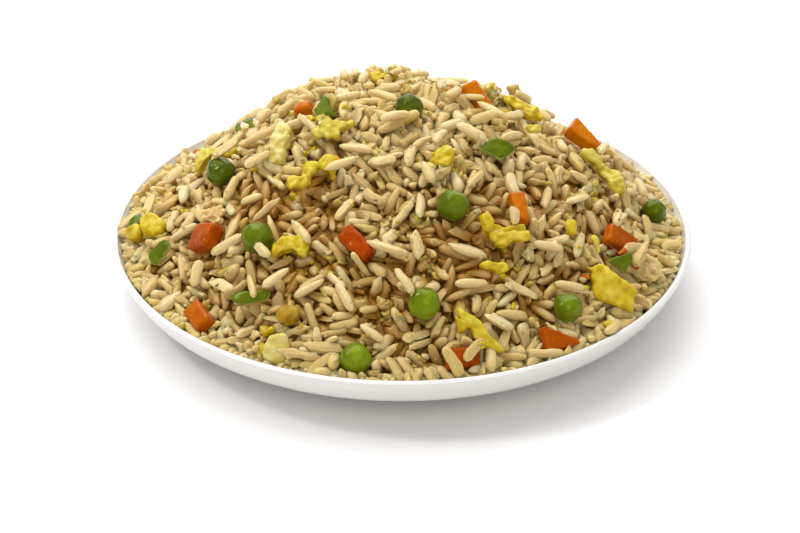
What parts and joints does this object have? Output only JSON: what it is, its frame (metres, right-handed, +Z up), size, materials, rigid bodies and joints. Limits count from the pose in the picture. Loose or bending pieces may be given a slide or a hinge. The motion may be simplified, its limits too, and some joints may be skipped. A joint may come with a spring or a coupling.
{
  "type": "fried rice plate",
  "caption": "Round shallow white plate heaped with fried rice, with peas, diced carrot, green pepper and scrambled egg through it; a plated dish to set on a table.",
  "frame": {"origin": "middle of the plate's foot, on the surface it stands on", "axes": "+Z up through the middle of the heap, -Y towards the side that is seen from the front"},
  "size_m": [0.17, 0.17, 0.061],
  "materials": {
    "plate": "white glazed porcelain, glossy, plain",
    "rice": "cooked long-grain rice browned with soy, moist satin, tan to cream from grain to grain",
    "pea": "cooked green pea skin, moist and glossy, with fine wrinkles and a pale dimple",
    "carrot": "cut cooked carrot, moist satin, orange with a paler core",
    "pepper": "green pepper skin outside and paler flesh inside, moist gloss",
    "egg": "scrambled egg, soft lumpy curd, yellow to cream, moist satin",
    "corn": "golden cooked corn kernel, slightly clear, moist gloss"
  },
  "bodies": {
    "root": {"plate": "plate", "rice_heap": "rice", "pea_1": "pea", "pea_2": "pea", "pea_3": "pea", "pea_4": "pea", "pea_5": "pea", "pea_6": "pea", "pea_7": "pea", "pea_8": "pea", "pea_9": "pea", "carrot_1": "carrot", "carrot_2": "carrot", "carrot_3": "carrot", "carrot_4": "carrot", "carrot_5": "carrot", "carrot_6": "carrot", "carrot_7": "carrot", "carrot_8": "carrot", "carrot_9": "carrot", "carrot_10": "carrot", "pepper_1": "pepper", "pepper_2": "pepper", "pepper_3": "pepper", "pepper_4": "pepper", "pepper_5": "pepper", "pepper_6": "pepper", "egg_1": "egg", "egg_2": "egg", "egg_3": "egg", "egg_4": "egg", "egg_5": "egg", "egg_6": "egg", "egg_7": "egg", "egg_8": "egg", "egg_9": "egg", "egg_10": "egg", "egg_11": "egg", "egg_12": "egg", "egg_13": "egg", "egg_14": "egg", "egg_15": "egg", "egg_16": "egg", "corn_1": "corn"}
  },
  "joints": []
}
